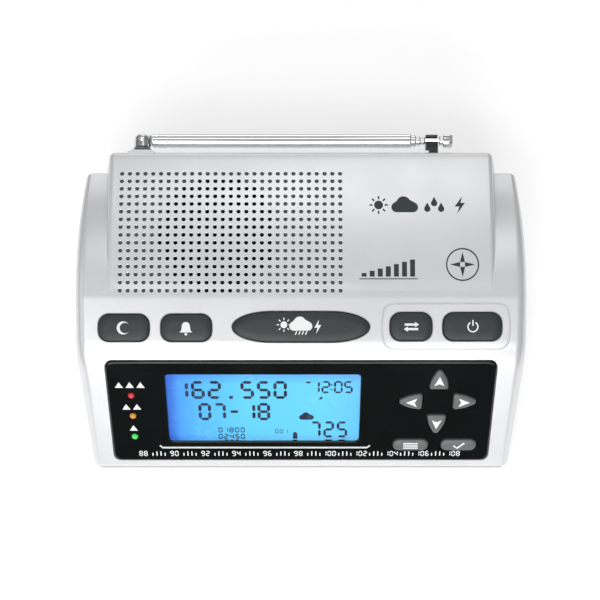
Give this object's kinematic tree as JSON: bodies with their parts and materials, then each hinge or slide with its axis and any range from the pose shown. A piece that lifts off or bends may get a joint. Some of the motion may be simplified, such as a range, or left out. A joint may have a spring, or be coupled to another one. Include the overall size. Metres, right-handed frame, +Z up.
{
  "type": "desk weather radio",
  "caption": "Desk weather-alert radio with a sloping display and key panel, a shelf of large keys, a grille pod over the speaker and a folding telescopic antenna.",
  "frame": {"origin": "centre of the footprint of the whole radio, on the table under its feet", "axes": "+X to the user's right, +Y to the rear where the antenna is, +Z up"},
  "size_m": [0.2026, 0.147, 0.0664],
  "materials": {
    "silver_paint": "satin",
    "grey_plastic": "matte",
    "gloss_black": "gloss",
    "black_plastic": "satin",
    "charcoal_rubber": "matte",
    "key_grey": "satin",
    "clear_window": "gloss",
    "lcd_blue": "gloss",
    "backlight": "satin",
    "white_plastic": "satin",
    "red_led": "gloss",
    "amber_led": "gloss",
    "green_led": "gloss",
    "chrome": "polished",
    "steel": "satin",
    "tinplate": "satin",
    "nickel": "satin",
    "copper_wire": "satin",
    "ferrite": "matte",
    "paper_cone": "matte",
    "circuit_board": "satin",
    "cell_jacket": "satin",
    "foot_rubber": "matte"
  },
  "bodies": {
    "housing": {"advisory_led": "green_led", "alert_jack": "black_plastic", "antenna_base": "grey_plastic", "antenna_clip": "black_plastic", "antenna_jack": "nickel", "bottom_case": "grey_plastic", "case_screw_1": "steel", "case_screw_2": "steel", "case_screw_3": "steel", "case_screw_4": "steel", "cell_1": "cell_jacket", "cell_2": "cell_jacket", "cell_3": "cell_jacket", "cell_4": "cell_jacket", "contacts_front": "nickel", "contacts_rear": "nickel", "dc_jack": "black_plastic", "display_board": "circuit_board", "ferrite_coil": "copper_wire", "ferrite_rod": "ferrite", "foot_front_left": "foot_rubber", "foot_front_right": "foot_rubber", "foot_rear_left": "foot_rubber", "foot_rear_right": "foot_rubber", "front_panel": "gloss_black", "key_board": "circuit_board", "lcd_backlight": "backlight", "lcd_frame": "white_plastic", "lcd_glass": "lcd_blue", "lcd_window": "clear_window", "main_board": "circuit_board", "speaker_basket": "steel", "speaker_cone": "paper_cone", "speaker_magnet": "ferrite", "top_case": "silver_paint", "tuner_can": "tinplate", "warning_led": "red_led", "watch_led": "amber_led"},
    "up_button": {"up_button": "key_grey"},
    "down_button": {"down_button": "key_grey"},
    "left_button": {"left_button": "key_grey"},
    "right_button": {"right_button": "key_grey"},
    "menu_button": {"menu_button": "key_grey"},
    "select_button": {"select_button": "key_grey"},
    "snooze_button": {"snooze_button": "charcoal_rubber"},
    "alert_button": {"alert_button": "charcoal_rubber"},
    "weather_button": {"weather_button": "charcoal_rubber"},
    "band_button": {"band_button": "charcoal_rubber"},
    "radio_button": {"radio_button": "charcoal_rubber"},
    "battery_door": {"battery_door": "grey_plastic"},
    "antenna_switch": {"antenna_switch": "black_plastic"},
    "antenna_swivel": {"antenna_swivel": "chrome", "antenna_pin": "steel"},
    "antenna_tube_1": {"antenna_tube_1": "chrome"},
    "antenna_tube_2": {"antenna_tube_2": "chrome"},
    "antenna_tube_3": {"antenna_tube_3": "chrome"},
    "antenna_tube_4": {"antenna_tube_4": "chrome"},
    "antenna_rod": {"antenna_rod": "chrome", "antenna_tip": "chrome"}
  },
  "joints": [
    {"name": "up_press", "type": "slide", "parent": "housing", "child": "up_button", "axis": [0, 0.7193, -0.6947], "range_m": [0, 0.0008], "stiffness_N_per_m": 600, "springref_m": -0.0015},
    {"name": "down_press", "type": "slide", "parent": "housing", "child": "down_button", "axis": [0, 0.7193, -0.6947], "range_m": [0, 0.0008], "stiffness_N_per_m": 600, "springref_m": -0.0015},
    {"name": "left_press", "type": "slide", "parent": "housing", "child": "left_button", "axis": [0, 0.7193, -0.6947], "range_m": [0, 0.0008], "stiffness_N_per_m": 600, "springref_m": -0.0015},
    {"name": "right_press", "type": "slide", "parent": "housing", "child": "right_button", "axis": [0, 0.7193, -0.6947], "range_m": [0, 0.0008], "stiffness_N_per_m": 600, "springref_m": -0.0015},
    {"name": "menu_press", "type": "slide", "parent": "housing", "child": "menu_button", "axis": [0, 0.7193, -0.6947], "range_m": [0, 0.0008], "stiffness_N_per_m": 600, "springref_m": -0.0015},
    {"name": "select_press", "type": "slide", "parent": "housing", "child": "select_button", "axis": [0, 0.7193, -0.6947], "range_m": [0, 0.0008], "stiffness_N_per_m": 600, "springref_m": -0.0015},
    {"name": "snooze_press", "type": "slide", "parent": "housing", "child": "snooze_button", "axis": [0, 0.2579, -0.9662], "range_m": [0, 0.001], "stiffness_N_per_m": 600, "springref_m": -0.0015},
    {"name": "alert_press", "type": "slide", "parent": "housing", "child": "alert_button", "axis": [0, 0.2579, -0.9662], "range_m": [0, 0.001], "stiffness_N_per_m": 600, "springref_m": -0.0015},
    {"name": "weather_press", "type": "slide", "parent": "housing", "child": "weather_button", "axis": [0, 0.2579, -0.9662], "range_m": [0, 0.001], "stiffness_N_per_m": 600, "springref_m": -0.0015},
    {"name": "band_press", "type": "slide", "parent": "housing", "child": "band_button", "axis": [0, 0.2579, -0.9662], "range_m": [0, 0.001], "stiffness_N_per_m": 600, "springref_m": -0.0015},
    {"name": "radio_press", "type": "slide", "parent": "housing", "child": "radio_button", "axis": [0, 0.2579, -0.9662], "range_m": [0, 0.001], "stiffness_N_per_m": 600, "springref_m": -0.0015},
    {"name": "antenna_turn", "type": "hinge", "parent": "housing", "child": "antenna_swivel", "pos_m": [-0.0726, 0.06926, 0.0616], "axis": [0, -1, 0], "range_deg": [0, 180]},
    {"name": "antenna_fold", "type": "hinge", "parent": "antenna_swivel", "child": "antenna_tube_1", "pos_m": [-0.0726, 0.06926, 0.0616], "axis": [0, 0, 1], "range_deg": [0, 90], "deforming": ["antenna_clip"]},
    {"name": "antenna_slide_1", "type": "slide", "parent": "antenna_tube_1", "child": "antenna_tube_2", "axis": [1, 0, 0], "range_m": [0, 0.1]},
    {"name": "antenna_slide_2", "type": "slide", "parent": "antenna_tube_2", "child": "antenna_tube_3", "axis": [1, 0, 0], "range_m": [0, 0.1]},
    {"name": "antenna_slide_3", "type": "slide", "parent": "antenna_tube_3", "child": "antenna_tube_4", "axis": [1, 0, 0], "range_m": [0, 0.1]},
    {"name": "antenna_slide_4", "type": "slide", "parent": "antenna_tube_4", "child": "antenna_rod", "axis": [1, 0, 0], "range_m": [0, 0.1]},
    {"name": "switch_slide", "type": "slide", "parent": "housing", "child": "antenna_switch", "axis": [1, 0, 0], "range_m": [0, 0.0025]},
    {"name": "battery_door_hinge", "type": "hinge", "parent": "housing", "child": "battery_door", "pos_m": [0.041, -0.0117, 0.0024], "axis": [-1, 0, 0], "range_deg": [0, 90]}
  ]
}
